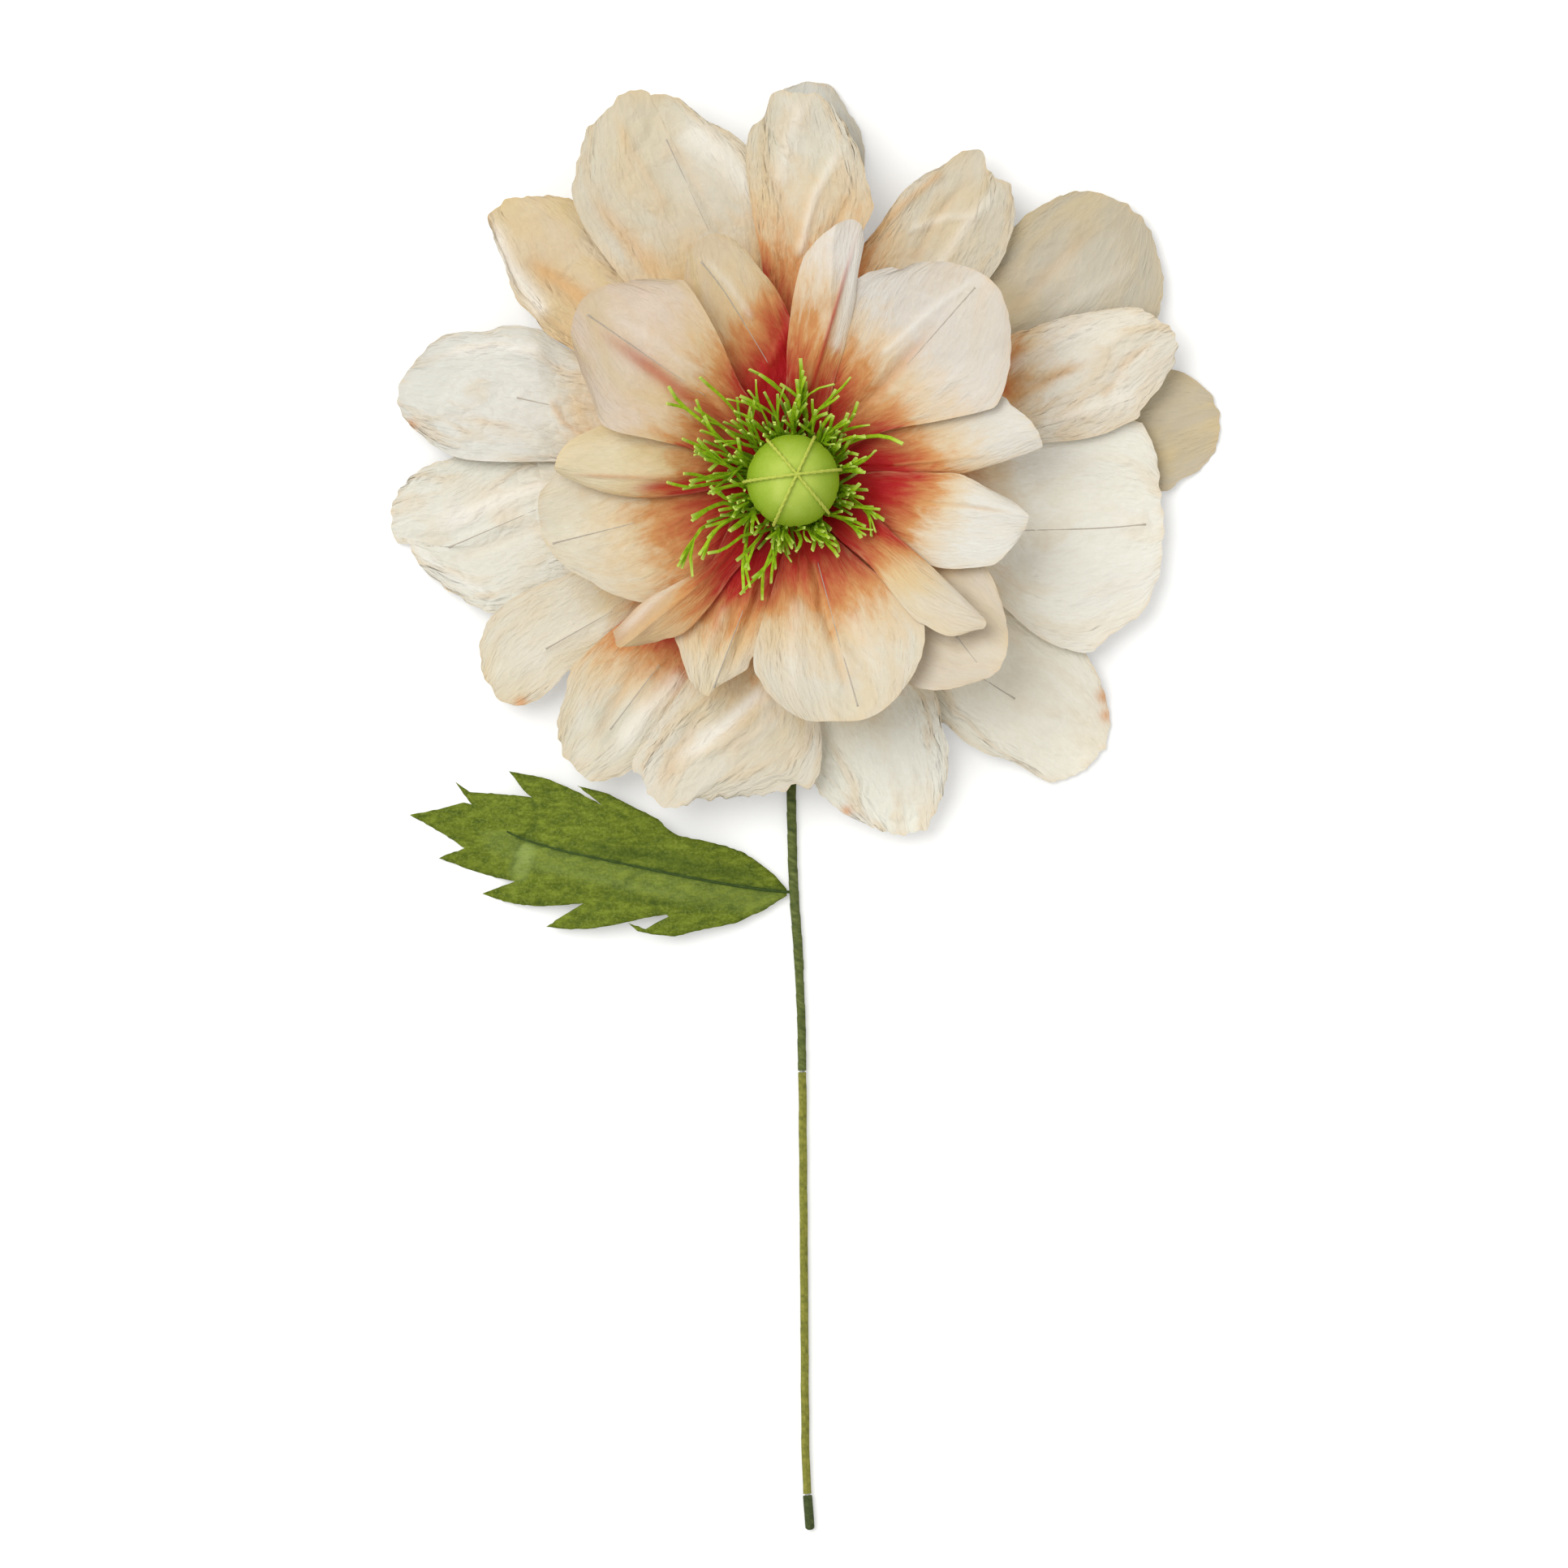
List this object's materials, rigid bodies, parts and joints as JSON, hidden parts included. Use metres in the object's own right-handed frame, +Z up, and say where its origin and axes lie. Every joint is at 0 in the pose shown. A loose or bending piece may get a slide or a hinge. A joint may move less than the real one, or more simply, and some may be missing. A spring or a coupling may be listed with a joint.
{
  "type": "paper flower",
  "caption": "Large open paper flower with two rings of wired petals, a green pod, twisted stamens, one ragged leaf and a taped wire stem, lying face up.",
  "frame": {"origin": "middle of the underside of the flower's box, on the table that it lies on", "axes": "+Z up, the way the flower faces; +Y from the stem's end towards the head"},
  "size_m": [0.4002, 0.6998, 0.0842],
  "materials": {
    "petal_paper": "thin cream tissue paper, wrinkled, stained red at the base",
    "stamen_paper": "twisted green paper",
    "pod": "smooth painted paper pulp",
    "pod_cord": "twisted yellow-green paper",
    "stem_tape": "matt wound tape",
    "stem_paper": "matt wound paper",
    "stem_cover": "matt wound tape",
    "leaf_paper": "matt green paper",
    "wire": "dull wire"
  },
  "bodies": {
    "root": {"inner_petal_01": "petal_paper", "inner_petal_02": "petal_paper", "inner_petal_03": "petal_paper", "inner_petal_04": "petal_paper", "inner_petal_05": "petal_paper", "inner_petal_06": "petal_paper", "inner_petal_07": "petal_paper", "inner_petal_08": "petal_paper", "inner_petal_09": "petal_paper", "inner_petal_10": "petal_paper", "inner_petal_11": "petal_paper", "inner_petal_12": "petal_paper", "inner_petal_13": "petal_paper", "outer_petal_01": "petal_paper", "outer_petal_02": "petal_paper", "outer_petal_03": "petal_paper", "outer_petal_04": "petal_paper", "outer_petal_05": "petal_paper", "outer_petal_06": "petal_paper", "outer_petal_07": "petal_paper", "outer_petal_08": "petal_paper", "outer_petal_09": "petal_paper", "outer_petal_10": "petal_paper", "outer_petal_11": "petal_paper", "outer_petal_12": "petal_paper", "outer_petal_13": "petal_paper", "outer_petal_14": "petal_paper", "outer_petal_15": "petal_paper", "outer_petal_16": "petal_paper", "stamen_sprig_01": "stamen_paper", "stamen_sprig_02": "stamen_paper", "stamen_sprig_03": "stamen_paper", "stamen_sprig_04": "stamen_paper", "stamen_sprig_05": "stamen_paper", "stamen_sprig_06": "stamen_paper", "stamen_sprig_07": "stamen_paper", "stamen_sprig_08": "stamen_paper", "stamen_sprig_09": "stamen_paper", "stamen_sprig_10": "stamen_paper", "stamen_sprig_11": "stamen_paper", "stamen_sprig_12": "stamen_paper", "pod_ball": "pod", "pod_cords": "pod_cord", "neck_binding": "stem_tape", "upper_stem_wrap": "stem_tape", "lower_stem_wrap": "stem_paper", "stem_end_cover": "stem_cover", "stem_wire": "wire", "leaf_wire": "wire", "leaf": "leaf_paper"}
  },
  "joints": []
}
